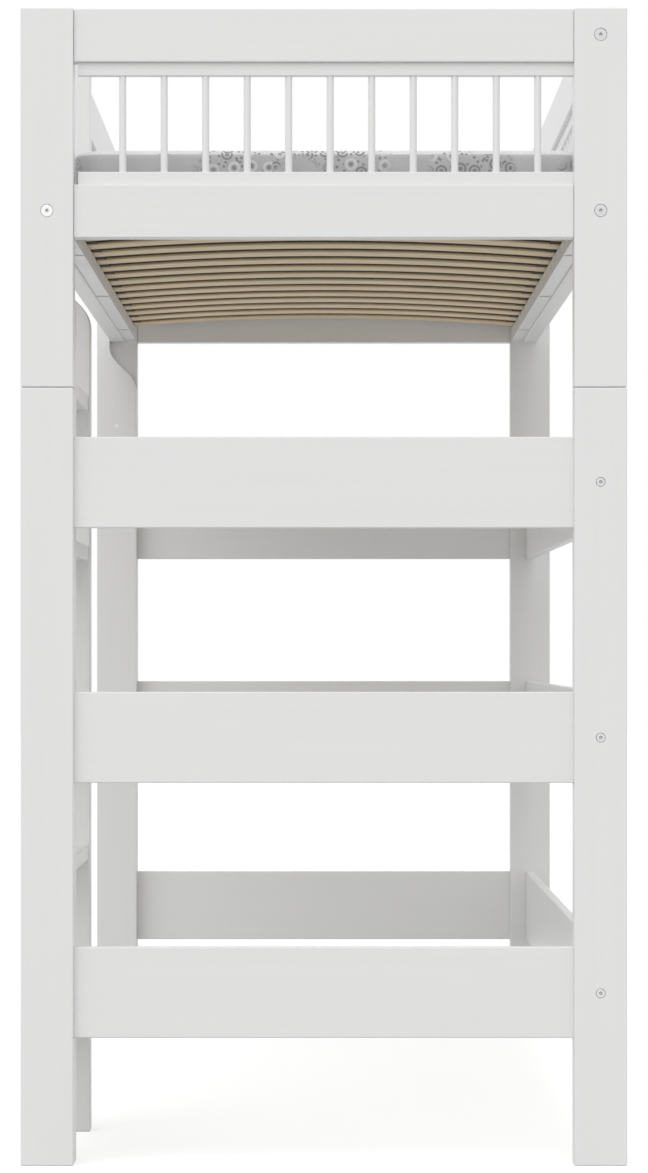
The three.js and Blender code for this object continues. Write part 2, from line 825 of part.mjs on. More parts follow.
// Fasteners
connectors.forEach((item) => place(joints, item.name, zinc, boltSolid(item)));
place(joints, 'support_board_screw', zinc, screwSolid());

const group = new THREE.Group();
group.add(frame, guards, base, ladder, joints);

export default group;
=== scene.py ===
"""Loft bed: lacquered timber frame, bar guards, bowed slats, ladder and mattress.

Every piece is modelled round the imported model, in metres, and takes its place from it.
"""

import functools
import math

import bmesh
import bpy
from mathutils import Matrix, Vector


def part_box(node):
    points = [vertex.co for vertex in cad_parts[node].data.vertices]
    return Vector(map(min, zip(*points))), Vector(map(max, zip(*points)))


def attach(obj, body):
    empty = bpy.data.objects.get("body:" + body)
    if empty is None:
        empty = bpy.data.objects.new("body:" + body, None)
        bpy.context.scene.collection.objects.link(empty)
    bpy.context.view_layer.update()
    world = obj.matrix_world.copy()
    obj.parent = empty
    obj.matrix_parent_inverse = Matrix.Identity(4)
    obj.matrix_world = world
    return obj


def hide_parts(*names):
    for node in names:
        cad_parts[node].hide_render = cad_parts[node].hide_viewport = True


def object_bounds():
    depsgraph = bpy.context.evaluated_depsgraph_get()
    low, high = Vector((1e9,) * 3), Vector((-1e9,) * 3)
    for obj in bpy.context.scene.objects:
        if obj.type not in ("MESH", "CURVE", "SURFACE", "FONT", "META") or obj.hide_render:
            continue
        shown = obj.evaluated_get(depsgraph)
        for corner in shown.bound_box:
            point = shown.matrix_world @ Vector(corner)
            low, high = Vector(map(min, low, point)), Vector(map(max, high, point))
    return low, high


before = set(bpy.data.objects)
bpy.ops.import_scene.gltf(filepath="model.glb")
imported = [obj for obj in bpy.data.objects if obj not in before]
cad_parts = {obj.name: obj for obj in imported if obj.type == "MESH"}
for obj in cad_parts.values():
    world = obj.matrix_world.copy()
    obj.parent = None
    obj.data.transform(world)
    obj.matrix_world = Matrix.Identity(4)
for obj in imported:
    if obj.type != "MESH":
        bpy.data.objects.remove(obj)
CAD_BOX = [list(corner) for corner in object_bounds()]
SLATS_LOW, SLATS_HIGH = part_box("bed_slats")

bl_info = {
    "name": "Loft Bed",
    "version": (1, 0, 0),
    "blender": (4, 5, 0),
    "location": "3D View > Sidebar > Loft Bed",
    "description": "Models the timber, slats, ladder, fittings and mattress of a loft bed",
    "category": "Object",
}

MM = 0.001
FRAME_BODY = "bed_frame"
MATTRESS_BODY = "loose_mattress"
AXES = {"x": 0, "y": 1, "z": 2}
WHITE = (1.0, 1.0, 1.0)
ROUND_SIDES = 48
PLY_PAIRS = 3
BAR_SINK = 5 * MM

# The cover draws in over the outermost of these zones of its half width or length
SIDE_ZONES = 12
END_ZONES = 24

# Cloth of the mattress cover, over a foam that presses outwards
CLOTH_FRAMES = 20
CLOTH = {
    "quality": 5,
    "use_pressure": True,
    "uniform_pressure_force": 4.0,
    "tension_stiffness": 40,
    "compression_stiffness": 40,
    "bending_stiffness": 6,
}

# Scales of the print: patches, rings and dots for each metre
PATCH_SCALE = 5.2
RING_SCALE = 34.0
DOT_SCALE = 88.0
PRINT_STRENGTH = 0.85

KEY_DIRECTION = Vector((0.25, 0.6, -0.76))
KEY_SPREAD = math.radians(60)

# Shift of the photo's middle from the line of sight, as shares of its height
SHIFT_X = 0.2 / 1173
SHIFT_Y = 63.5 / 1173


# Settings

def metres(name, description, default):
    return bpy.props.FloatProperty(name=name, description=description, default=default, unit="LENGTH")


def rgb(name, description, default):
    return bpy.props.FloatVectorProperty(
        name=name, description=description, default=default, size=3, subtype="COLOR"
    )


def scalar(name, description, default):
    return bpy.props.FloatProperty(name=name, description=description, default=default)


def whole(name, description, default):
    return bpy.props.IntProperty(name=name, description=description, default=default)


class TimberSettings(bpy.types.PropertyGroup):
    """Sizes and finish of the lacquered timber."""

    arris: metres("Arris", "Rounding along the edges of posts and boards", 2.4 * MM)
    shoulder_gap: metres("Shoulder gap", "Fine gap at the ends of a board", 0.7 * MM)
    rail_gap: metres("Lower rail gap", "Fine gap at the ends of a lower rail", 0.1 * MM)
    joint_gap: metres("Joint gap", "Fine gap between the two lengths of a post", 0.8 * MM)
    rail_arris: metres("Guard rail arris", "Rounding along the guards' thin rails", 1.5 * MM)
    bearer_arris: metres("Bearer arris", "Rounding along the slat bearers", 1.2 * MM)
    lacquer: rgb("Lacquer", "Colour of the lacquer", (0.8, 0.8, 0.795))
    bar_radius: metres("Bar radius", "Radius of the round bars of the guards", 6.25 * MM)
    bar_sides: whole("Bar sides", "Facets round each guard bar", 24)


class CurveSettings(bpy.types.PropertyGroup):
    """The flowing cut of the uprights under the side rail."""

    drop: metres("Drop", "From the underside of the side rail down to the cut", 12.5 * MM)
    hollow_radius: metres("Hollow radius", "Radius of the upper, hollow bend", 45 * MM)
    round_radius: metres("Round radius", "Radius of the lower, rounded bend", 60 * MM)
    tongue_gap: metres("Tongue gap", "Air between the tongue and the side rail", 0.3 * MM)


class SlatSettings(bpy.types.PropertyGroup):
    """Bowed slats and the webbing that keeps them apart."""

    count: whole("Slats", "Number of slats", 16)
    width: metres("Width", "Width of a slat along the bed", 62 * MM)
    thickness: metres("Thickness", "Thickness of a slat", 6.5 * MM)
    rise: metres("Rise", "Height of the bow in the middle", 19 * MM)
    edge: metres("Edge", "Rounding along the slat's edges", 3 * MM)
    steps: whole("Steps", "Straight steps along the bow", 24)
    # The bands are wide so that their black also paints the shade at the slats' ends
    band_width: metres("Band width", "Width of the webbing bands", 34 * MM)
    band_inset: metres("Band inset", "Distance from the slat's end to the webbing band", 8 * MM)
    band_thickness: metres("Band thickness", "Thickness of the webbing bands", 1.2 * MM)
    face: rgb("Birch", "Colour of the birch face", (0.78, 0.625, 0.405))


class PocketSettings(bpy.types.PropertyGroup):
    """Round screw pockets under the slat bearers."""

    diameter: metres("Diameter", "Diameter of a pocket, a little wider than the bearer", 29 * MM)
    depth: metres("Depth", "Depth of a pocket", 8 * MM)
    from_face: metres("From the end", "From the end of the bed to the first pocket", 317 * MM)


class FittingSettings(bpy.types.PropertyGroup):
    """Connecting bolts with their barrel nuts, and the screws."""

    head_depth: metres("Head depth", "Thickness of a bolt's head", 2.2 * MM)
    head_arris: metres("Head arris", "Rounding of the head's rim", 0.7 * MM)
    head_gap: metres("Head gap", "Air round a bolt's head in its recess", 0.9 * MM)
    socket_radius: metres("Socket radius", "Radius of the hexagon's corners", 3.4 * MM)
    socket_depth: metres("Socket depth", "Depth of the hexagon socket", 4.5 * MM)
    recess: metres("Recess", "Depth of a recess behind the head's face", 2.4 * MM)
    shank_radius: metres("Shank radius", "Radius of a bolt's shank", 3.7 * MM)
    nut_radius: metres("Nut radius", "Radius of a barrel nut", 5 * MM)
    nut_length: metres("Nut length", "Length of a barrel nut", 14 * MM)
    nut_from_end: metres("Nut from the end", "From the bolt's end to its nut", 8 * MM)
    bearer_screw: metres("Bearer screw", "Radius of the head of a bearer's screw", 4 * MM)
    board_screw: metres("Board screw", "Radius of the head of the rear board's screw", 4.5 * MM)
    # One zinc in two copies: painted light on the ladder's side, painted shade on the other side
    bright: scalar("Lit zinc", "Brightness of the zinc on the ladder's side", 0.88)
    shaded_zinc: scalar("Shaded zinc", "Brightness of the zinc on the other side", 0.68)


class MattressSettings(bpy.types.PropertyGroup):
    """Shape, cloth and print of the mattress."""

    grid: metres("Grid", "Spacing of the mesh before the cloth simulation", 18 * MM)
    shrink: metres("Shrink", "How much smaller the form starts before it swells", 1.5 * MM)
    cap: metres("Cap", "Furthest that a point may move as the cover swells", 3 * MM)
    corner: metres("Corner", "Radius of the corners seen from above", 46 * MM)
    rim: metres("Rim", "Radius of the edge round the top", 16 * MM)
    foot: metres("Foot", "Radius of the lower edge", 11 * MM)
    crown: metres("Crown", "Rise of the top in the middle", 4 * MM)
    draw_in: metres("Draw-in", "How far the sides pull in between top and bottom", 3 * MM)
    ease: metres("Ease", "How far the side eases out into the ladder opening", 10 * MM)
    band: metres("Band", "How far the top panel comes down over the edge, to its seam", 8 * MM)
    sag: metres("Sag", "How far the underside hangs between two slats", 1.5 * MM)
    rest_gap: metres("Rest gap", "Air between the underside and a slat", 0.3 * MM)
    seam: metres("Seam", "Depth of the seam round the top panel", 0.6 * MM)
    seam_width: metres("Seam width", "Width of the seam", 2.6 * MM)
    cover: rgb("Cover", "Ground colour of the cover", (0.55, 0.55, 0.555))
    # The top panel's pale colour is partly a lighter fabric and partly painted light from above
    top_panel_with_painted_light: rgb("Top panel", "Ground colour of the top panel", (0.84, 0.84, 0.845))
    light_motif: rgb("Light motif", "Colour of the light rings", (0.74, 0.74, 0.75))
    dark_motif: rgb("Dark motif", "Colour of the dark dots in the print", (0.24, 0.24, 0.25))
    # Painted shade: this near-black underside stands in for the shade in the gaps between the slats
    underside: rgb("Underside", "Colour of the non-woven underside", (0.035, 0.035, 0.04))


class StageSettings(bpy.types.PropertyGroup):
    """Floor, lamps and camera."""

    floor_size: metres("Floor size", "Side of the square floor", 60.0)
    floor: rgb("Floor", "Colour of the floor", (0.52, 0.52, 0.52))
    floor_glow: scalar("Floor glow", "How much the seen floor is lifted to white", 0.58)
    sky: scalar("Sky", "Strength of the soft light from all round", 0.86)
    key: scalar("Key light", "Strength of the broad even light from the front left", 1.05)
    eye_height: metres("Eye height", "Height of the camera above the floor", 0.898)
    distance: metres("Distance", "Distance from the camera to the front posts", 6.016)
    lens: scalar("Lens", "Focal length in millimetres", 106.1)


SETTINGS = {
    "timber": TimberSettings,
    "curve": CurveSettings,
    "slats": SlatSettings,
    "pockets": PocketSettings,
    "fittings": FittingSettings,
    "mattress": MattressSettings,
    "stage": StageSettings,
}


def settings(kind):
    return getattr(bpy.context.scene, f"loft_bed_{kind}")


# Modelling helpers

def make_active(obj):
    for item in bpy.context.selected_objects:
        item.select_set(False)
    obj.select_set(True)
    bpy.context.view_layer.objects.active = obj


def settle(name):
    """Names the piece just added and moves its place into its mesh."""
    obj = bpy.context.object
    obj.name = name
    make_active(obj)
    bpy.ops.object.transform_apply(location=True, rotation=True, scale=True)
    return obj


def add_block(name, low, high):
    low, high = Vector(low), Vector(high)
    bpy.ops.mesh.primitive_cube_add(size=1, location=(low + high) / 2, scale=high - low)
    return settle(name)


def add_cylinder(name, radius, start, end, sides):
    """A round bar between two points."""
    start, end = Vector(start), Vector(end)
    axis = end - start
    turn = Vector((0, 0, 1)).rotation_difference(axis).to_euler()
    bpy.ops.mesh.primitive_cylinder_add(
        vertices=sides, radius=radius, depth=axis.length, location=(start + end) / 2, rotation=turn
    )
    return settle(name)


def apply_modifier(obj, kind, **values):
    make_active(obj)
    modifier = obj.modifiers.new(kind.title(), kind)
    for key, value in values.items():
        setattr(modifier, key, value)
    bpy.ops.object.modifier_apply(modifier=modifier.name)


def cut(obj, cutter):
    apply_modifier(obj, "BOOLEAN", operation="DIFFERENCE", object=cutter, solver="EXACT")
    bpy.data.objects.remove(cutter)


def join(name, objects):
    make_active(objects[0])
    for item in objects:
        item.select_set(True)
    bpy.ops.object.join()
    objects[0].name = name
    return objects[0]


def copied(obj, name, matrix):
    """A copy with its own mesh, its place in the mesh."""
    twin = obj.copy()
    twin.data = obj.data.copy()
    twin.name = name
    bpy.context.scene.collection.objects.link(twin)
    twin.data.transform(matrix)
    return twin


def select_parts(obj, kind, test):
    """Enters edit mode with only the parts selected that pass the test."""
    make_active(obj)
    bpy.ops.object.mode_set(mode="EDIT")
    bpy.ops.mesh.select_mode(type=kind)
    bpy.ops.mesh.select_all(action="DESELECT")
    mesh = bmesh.from_edit_mesh(obj.data)
    parts = {"VERT": mesh.verts, "EDGE": mesh.edges, "FACE": mesh.faces}[kind]
    for part in parts:
        part.select_set(bool(test(part)))
    mesh.select_flush_mode()
    bmesh.update_edit_mesh(obj.data)


def bevel_edges(obj, test, offset, segments):
    """Rounds the edges that pass the test."""
    select_parts(obj, "EDGE", test)
    bpy.ops.mesh.bevel(offset=offset, segments=segments, profile=0.5, affect="EDGES")
    bpy.ops.object.mode_set(mode="OBJECT")


def is_corner(edge):
    return len(edge.link_faces) == 2 and edge.calc_face_angle(0) > math.radians(30)


def round_rim(obj, side, level, offset, segments):
    """Rounds the corner edges that lie wholly above (side 1) or below (side -1) a level."""
    def test(edge):
        return is_corner(edge) and all(side * (v.co.z - level) > 0 for v in edge.verts)
    bevel_edges(obj, test, offset, segments)


def smooth(obj, angle=40):
    make_active(obj)
    bpy.ops.object.shade_smooth_by_angle(angle=math.radians(angle))
    apply_modifier(obj, "WEIGHTED_NORMAL", keep_sharp=True, weight=100)


def hand_over(obj, material, slot, *nodes, body=FRAME_BODY):
    """Dresses a finished piece and gives it its place in the frame."""
    obj.data.materials.append(material)
    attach(obj, body)
    if nodes:
        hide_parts(*nodes)


# Shared shader effects

def feed(tree, socket, value):
    """Links a socket to another one, or sets its value. A colour is three numbers."""
    if isinstance(value, bpy.types.NodeSocket):
        tree.links.new(value, socket)
    elif socket.type == "RGBA":
        socket.default_value = (*value, 1.0)
    else:
        socket.default_value = value


def feed_inputs(tree, node, **values):
    """Feeds named inputs, from_min for the one labelled From Min."""
    for label, value in values.items():
        feed(tree, node.inputs[label.replace("_", " ").title()], value)


def add_node(tree, kind, **values):
    node = tree.nodes.new("ShaderNode" + kind)
    feed_inputs(tree, node, **values)
    return node


def math_node(tree, operation, *values, clamp=False):
    node = add_node(tree, "Math")
    node.operation = operation
    node.use_clamp = clamp
    for socket, value in zip(node.inputs, values):
        feed(tree, socket, value)
    return node.outputs[0]


def times(tree, first, second):
    return math_node(tree, "MULTIPLY", first, second)


def mix_colour(tree, factor, first, second):
    node = add_node(tree, "Mix")
    node.data_type = "RGBA"
    sockets = [s for s in node.inputs if s.enabled]
    for socket, value in zip(sockets, (factor, first, second)):
        feed(tree, socket, value)
    return [s for s in node.outputs if s.enabled][0]


def toned(colour, factor):
    return [min(1.0, part * factor) for part in colour]


def noise(tree, vector, scale, detail=3.0, roughness=0.5):
    values = {"vector": vector, "scale": scale, "detail": detail, "roughness": roughness}
    return add_node(tree, "TexNoise", **values).outputs["Fac"]


def map_range(tree, value, **limits):
    return add_node(tree, "MapRange", value=value, **limits).outputs["Result"]


def ramp(tree, value, low, high):
    return map_range(tree, value, from_min=low, from_max=high)


def separate(tree, vector):
    """The X, Y and Z of a vector."""
    return add_node(tree, "SeparateXYZ", vector=vector).outputs


def shader_group(name, label, kind, default, outputs):
    """An empty node group with a vector and one setting going in, and floats coming out."""
    group = bpy.data.node_groups.new(name, "ShaderNodeTree")
    group.interface.new_socket(name="Vector", in_out="INPUT", socket_type="NodeSocketVector")
    setting = group.interface.new_socket(name=label, in_out="INPUT", socket_type=kind)
    setting.default_value = default
    for output in outputs:
        group.interface.new_socket(name=output, in_out="OUTPUT", socket_type="NodeSocketFloat")
    source = group.nodes.new("NodeGroupInput").outputs
    return group, source, group.nodes.new("NodeGroupOutput").inputs


@functools.cache
def grain_group():
    """Long wood grain: fine fibres and slow bands along one direction of the vector."""
    group, source, sink = shader_group(
        "Wood Grain", "Stretch", "NodeSocketVector", (1.0, 1.0, 1.0), ("Fibres", "Bands")
    )
    scaled = add_node(group, "VectorMath")
    scaled.operation = "MULTIPLY"
    feed(group, scaled.inputs[0], source["Vector"])
    feed(group, scaled.inputs[1], source["Stretch"])
    feed(group, sink["Fibres"], noise(group, scaled.outputs[0], 900.0, 4.0, 0.6))
    feed(group, sink["Bands"], noise(group, scaled.outputs[0], 90.0, 3.0, 0.55))
    return group


@functools.cache
def weave_group():
    """Plain weave of a fabric: a height that rises and falls with warp and weft."""
    group, source, sink = shader_group(
        "Plain Weave", "Threads", "NodeSocketFloat", 900.0, ("Height", "Slub")
    )
    split = separate(group, source["Vector"])
    x, y, z = (
        math_node(group, "SINE", times(group, split[axis], source["Threads"])) for axis in "XYZ"
    )
    first = math_node(group, "ADD", times(group, x, y), times(group, y, z))
    total = math_node(group, "ADD", first, times(group, x, z))
    feed(group, sink["Height"], ramp(group, total, -1.5, 1.5))
    feed(group, sink["Slub"], noise(group, source["Vector"], 260.0, 4.0))
    return group


def group_node(tree, group, vector, **setting):
    node = add_node(tree, "Group")
    node.node_tree = group
    feed_inputs(tree, node, vector=vector, **setting)
    return node.outputs


def new_material(name, **uniform):
    """A principled material with the values that are uniform over it."""
    material = bpy.data.materials.new(name)
    material.use_nodes = True
    tree = material.node_tree
    shader = tree.nodes["Principled BSDF"]
    feed_inputs(tree, shader, **uniform)
    return material, tree, shader


def object_place(tree):
    return add_node(tree, "TexCoord").outputs["Object"]


def add_bump(tree, shader, height, distance, strength=1.0):
    node = add_node(tree, "Bump", distance=distance, strength=strength, height=height)
    feed_inputs(tree, shader, normal=node.outputs["Normal"])


# Materials

@functools.cache
def lacquer_material(run):
    """White satin lacquer, with the grain of the timber faintly telegraphed along its run."""
    material, tree, shader = new_material(f"White Lacquer {run.upper()}")
    shader.inputs["Specular IOR Level"].default_value = 0.42
    place = object_place(tree)
    stretch = [1.0, 1.0, 1.0]
    stretch[AXES[run]] = 0.03
    grain = group_node(tree, grain_group(), place, stretch=stretch)
    base = settings("timber").lacquer
    shade = ramp(tree, grain["Bands"], 0.3, 0.7)
    colour = mix_colour(tree, shade, toned(base, 0.992), toned(base, 1.007))
    rough = map_range(tree, noise(tree, place, 14.0, 2.0), to_min=0.34, to_max=0.46)
    feed_inputs(tree, shader, base_color=colour, roughness=rough)
    height = math_node(tree, "ADD", times(tree, grain["Fibres"], 0.5), grain["Bands"])
    add_bump(tree, shader, height, 0.03 * MM, 0.5)
    return material


@functools.cache
def birch_material():
    """Birch plywood: pale streaked face, and the plies as dark lines on the edges."""
    material, tree, shader = new_material("Birch Plywood", roughness=0.58)
    grain = group_node(tree, grain_group(), object_place(tree), stretch=(0.06, 1.0, 1.0))
    face = settings("slats").face
    bands = ramp(tree, grain["Bands"], 0.32, 0.68)
    fibres = ramp(tree, grain["Fibres"], 0.35, 0.65)
    tint = mix_colour(tree, bands, toned(face, 0.86), toned(face, 1.1))
    streaked = mix_colour(tree, times(tree, fibres, 0.25), tint, toned(face, 0.7))
    layer = add_node(tree, "Attribute")
    layer.attribute_name = "ply"
    wave = math_node(tree, "SINE", times(tree, layer.outputs["Fac"], math.tau * PLY_PAIRS))
    normal = separate(tree, add_node(tree, "NewGeometry").outputs["Normal"])
    on_edge = ramp(tree, math_node(tree, "ABSOLUTE", normal["Y"]), 0.6, 0.9)
    line = times(tree, ramp(tree, wave, 0.1, 0.9), on_edge)
    colour = mix_colour(tree, times(tree, line, 0.55), streaked, toned(face, 0.45))
    feed_inputs(tree, shader, base_color=colour)
    add_bump(tree, shader, grain["Fibres"], 0.08 * MM, 0.7)
    return material


def clouded_material(name, scale, dark, light, **uniform):
    """A material whose colour drifts between two tones."""
    material, tree, shader = new_material(name, **uniform)
    place = object_place(tree)
    feed_inputs(tree, shader, base_color=mix_colour(tree, noise(tree, place, scale), dark, light))
    return material, tree, shader, place


@functools.cache
def zinc_material(name, tone):
    """Zinc plate with a faint cloud of handling."""
    grey = [tone] * 3
    material, tree, shader, place = clouded_material(
        name, 300.0, toned(grey, 0.95), toned(grey, 1.04), metallic=1.0, roughness=0.28
    )
    add_bump(tree, shader, noise(tree, place, 1500.0, 2.0), 0.02 * MM, 0.5)
    return material


@functools.cache
def painted_socket_shade_material():
    """Painted shade: a near-black inside to a bolt's socket, standing in for the shade down in the
    recess.
    """
    return clouded_material("Painted Socket Shade", 800.0, [0.012] * 3, [0.03] * 3, roughness=0.85)[0]


@functools.cache
def screw_material():
    """Dark phosphated screws."""
    dark, light = (0.05, 0.05, 0.055), (0.12, 0.12, 0.12)
    return clouded_material("Dark Screw", 500.0, dark, light, metallic=0.8, roughness=0.5)[0]


@functools.cache
def webbing_and_painted_shade_material():
    """Black woven band, whose black over its wide band also stands in for the shade at the slats' ends.
    """
    material, tree, shader = new_material("Black Webbing And Painted Shade", roughness=0.9)
    weave = group_node(tree, weave_group(), object_place(tree), threads=3000.0)
    colour = mix_colour(tree, weave["Slub"], (0.018, 0.018, 0.02), (0.045, 0.045, 0.05))
    feed_inputs(tree, shader, base_color=colour)
    add_bump(tree, shader, weave["Height"], 0.2 * MM, 0.8)
    return material


def cells(tree, vector, scale, randomness):
    """Flat cells for the print: distance from each middle, and a number of its own."""
    node = add_node(tree, "TexVoronoi", vector=vector, scale=scale, randomness=randomness)
    node.voronoi_dimensions = "2D"
    split = add_node(tree, "SeparateColor", color=node.outputs["Color"])
    return node.outputs["Distance"], split.outputs[0]


def seam_height():
    """Height of the seam that joins the top panel to the sides."""
    look = settings("mattress")
    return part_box("mattress")[1][2] - look.crown - look.band


@functools.cache
def cover_material():
    """Grey woven cover, printed with patches of rings and dots."""
    material, tree, shader = new_material(
        "Printed Cover", roughness=0.92, sheen_weight=0.2, sheen_roughness=0.5
    )
    look = settings("mattress")
    place = object_place(tree)
    flat = add_node(tree, "UVMap")
    flat.uv_map = "print"
    print_place = flat.outputs["UV"]
    weave = group_node(tree, weave_group(), place, threads=2600.0)

    # Ground: the sides, the paler top panel above the seam, partly a lighter fabric and partly painted
    # light from above, and faint clouds
    height = seam_height()
    above = ramp(tree, separate(tree, place)["Z"], height - 0.3 * MM, height + 0.3 * MM)
    panel = mix_colour(tree, above, look.cover, look.top_panel_with_painted_light)
    clouds = ramp(tree, noise(tree, place, 6.0, 2.0), 0.35, 0.65)
    ground = mix_colour(tree, times(tree, clouds, 0.12), panel, toned(look.cover, 0.6))

    # Print: rings with a heart in each cell, and dots between them, crowded into patches
    crowd = ramp(tree, noise(tree, print_place, PATCH_SCALE, 1.0), 0.48, 0.53)
    distance, number = cells(tree, print_place, RING_SCALE, 0.75)
    small = cells(tree, print_place, DOT_SCALE, 0.9)[0]
    ringed = ramp(tree, number, 0.4, 0.41)
    ring = times(tree, ramp(tree, distance, 0.37, 0.34), ramp(tree, distance, 0.21, 0.24))
    rings = times(tree, ring, crowd)
    hearts = times(tree, ramp(tree, distance, 0.15, 0.12), crowd)
    between = times(tree, ramp(tree, small, 0.26, 0.2), ramp(tree, distance, 0.4, 0.44))
    dots = times(tree, between, crowd)
    dark_rings = times(tree, rings, math_node(tree, "SUBTRACT", 1.0, ringed))
    spots = math_node(tree, "ADD", dots, hearts, clamp=True)
    dark = math_node(tree, "ADD", spots, dark_rings, clamp=True)
    light = times(tree, times(tree, rings, ringed), PRINT_STRENGTH)
    with_light = mix_colour(tree, light, ground, look.light_motif)
    with_dark = mix_colour(tree, times(tree, dark, PRINT_STRENGTH), with_light, look.dark_motif)

    slub = times(tree, ramp(tree, weave["Slub"], 0.35, 0.7), 0.15)
    colour = mix_colour(tree, slub, with_dark, toned(look.cover, 0.7))
    feed_inputs(tree, shader, base_color=colour)
    add_bump(tree, shader, weave["Height"], 0.25 * MM, 0.8)
    return material


@functools.cache
def painted_shade_underside_material():
    """Painted shade: a near-black, fluffy underside to the mattress, standing in for the shade in the
    gaps between the slats.
    """
    material, tree, shader = new_material("Painted Shade Underside", roughness=0.95)
    base = settings("mattress").underside
    fluff = noise(tree, object_place(tree), 700.0, 5.0, 0.65)
    colour = mix_colour(tree, fluff, toned(base, 0.7), toned(base, 1.5))
    feed_inputs(tree, shader, base_color=colour)
    add_bump(tree, shader, fluff, 0.3 * MM, 0.7)
    return material


# Timber

def along(axis, value):
    """A vector of the given length along one axis."""
    vector = [0.0, 0.0, 0.0]
    vector[AXES[axis]] = value
    return vector


def is_along(axis):
    """Edges that run along one axis."""
    def test(edge):
        run = (edge.verts[1].co - edge.verts[0].co).normalized()
        return abs(run[AXES[axis]]) > 0.999 and is_corner(edge)
    return test


def bolt_nodes():
    return [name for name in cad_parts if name.startswith("bolt_")]


def head_radius(node):
    """Radius of a bolt's round head, read across the flats of its faceted solid."""
    low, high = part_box(node)
    return (high[0] - low[0]) / 2 / math.cos(math.pi / 8)


def bolt_face(node):
    """Middle of the face of a bolt's or screw's head, and the way it looks, -1 to the front."""
    low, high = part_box(node)
    way = 1 if "_rear_" in node else -1
    middle = [(a + b) / 2 for a, b in zip(low, high)]
    middle[1] = high[1] if way > 0 else low[1]
    return Vector(middle), way


def sink_bolt_heads(obj, low, high):
    """Cuts the round recess of each bolt head that lies on the piece."""
    for node in bolt_nodes():
        face, way = bolt_face(node)
        reach = 4 * MM
        inside = all(low[i] - reach < face[i] < high[i] + reach for i in range(3))
        surface = high[1] if way > 0 else low[1]
        if not inside or abs(face[1] - surface) > reach:
            continue
        fit = settings("fittings")
        start = (face.x, surface + way * reach, face.z)
        end = (face.x, face.y - way * fit.recess, face.z)
        cut(obj, add_cylinder("recess", head_radius(node) + fit.head_gap, start, end, ROUND_SIDES))


def add_timber(node, low, high, run, arris, test=is_corner):
    """One planed and lacquered piece, with the edges rounded that pass the test."""
    obj = add_block(node + "_timber", low, high)
    bevel_edges(obj, test, arris, 3)
    sink_bolt_heads(obj, low, high)
    smooth(obj)
    hand_over(obj, lacquer_material(run), "lacquer", node)


def add_board(node, run, arris, test=is_corner):
    add_timber(node, *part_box(node), run, arris, test)


class LOFTBED_OT_posts(bpy.types.Operator):
    """Four corner posts, each of two stacked lengths"""

    bl_idname = "loftbed.posts"
    bl_label = "Posts"

    def execute(self, context):
        arris = settings("timber").arris
        for corner in ("front_left", "front_right", "rear_left", "rear_right"):
            add_board("lower_post_" + corner, "z", arris)
            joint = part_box("lower_post_" + corner)[1][2]
            low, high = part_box("upper_post_" + corner)
            foot = (low[0], low[1], joint + settings("timber").joint_gap)
            add_timber("upper_post_" + corner, foot, high, "z", arris)
        return {"FINISHED"}


class LOFTBED_OT_end_boards(bpy.types.Operator):
    """Boards and rails across the two ends, between the posts"""

    bl_idname = "loftbed.end_boards"
    bl_label = "End Boards"

    def execute(self, context):
        timber = settings("timber")
        inner = abs(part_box("lower_post_front_left")[1][0])
        for end in ("front", "rear"):
            for piece in ("top_board", "bed_rail", "lower_rail_1", "lower_rail_2", "lower_rail_3"):
                node = f"{end}_{piece}"
                low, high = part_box(node)
                half = inner - (timber.rail_gap if "lower" in piece else timber.shoulder_gap)
                ends = (-half, *low[1:]), (half, *high[1:])
                add_timber(node, *ends, "x", timber.arris, is_along("x"))
        return {"FINISHED"}


class LOFTBED_OT_side_boards(bpy.types.Operator):
    """Rails and guard boards along the two sides"""

    bl_idname = "loftbed.side_boards"
    bl_label = "Side Boards"

    def execute(self, context):
        arris = settings("timber").arris
        for node in ("left_bed_rail", "right_bed_rail", "left_guard_board", "right_guard_board"):
            add_board(node, "y", arris)
        for i in (1, 2, 3):
            add_board(f"right_lower_rail_{i}", "y", arris, is_along("y"))
        return {"FINISHED"}


# Guards

def bar_places(node, run):
    """Middles of a guard's bars, found from the tops of the bars in its solid."""
    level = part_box(node)[1][2] - 0.5 * MM
    corners = [v.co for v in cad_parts[node].data.vertices]
    tops = sorted(co[AXES[run]] for co in corners if co[2] > level)
    places = []
    start = previous = tops[0]
    for value in tops[1:] + [math.inf]:
        if value - previous > 20 * MM:
            places.append((start + previous) / 2)
            start = value
        previous = value
    return places


class LOFTBED_OT_guards(bpy.types.Operator):
    """Guard rails and their round bars on all four sides"""

    bl_idname = "loftbed.guards"
    bl_label = "Guards"

    def execute(self, context):
        timber = settings("timber")
        for side, run in (("front", "x"), ("rear", "x"), ("left", "y"), ("right", "y")):
            add_board(f"{side}_guard_top_rail", run, timber.rail_arris, is_along(run))
            node = f"{side}_guard_bars"
            low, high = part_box(node)
            top_low, top_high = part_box(f"{side}_guard_top_rail")
            rail_top = low[2] + top_high[2] - top_low[2]
            rail = add_block(f"{side}_guard_bottom_rail_timber", low, (high[0], high[1], rail_top))
            bevel_edges(rail, is_along(run), timber.rail_arris, 3)
            smooth(rail)
            hand_over(rail, lacquer_material(run), "lacquer", node)
            places = bar_places(node, run)
            middle = [(a + b) / 2 for a, b in zip(low, high)]
            middle[AXES[run]] = places[0]
            x, y = middle[:2]
            foot = (x, y, rail_top - BAR_SINK)
            head = (x, y, top_low[2] + BAR_SINK)
            name = f"{side}_guard_round_bars"
            bars = add_cylinder(name, timber.bar_radius, foot, head, timber.bar_sides)
            apply_modifier(
                bars,
                "ARRAY",
                count=len(places),
                use_relative_offset=False,
                use_constant_offset=True,
                constant_offset_displace=along(run, (places[-1] - places[0]) / (len(places) - 1)),
            )
            smooth(bars)
            hand_over(bars, lacquer_material("z"), "lacquer", node)
        return {"FINISHED"}


# Uprights and steps

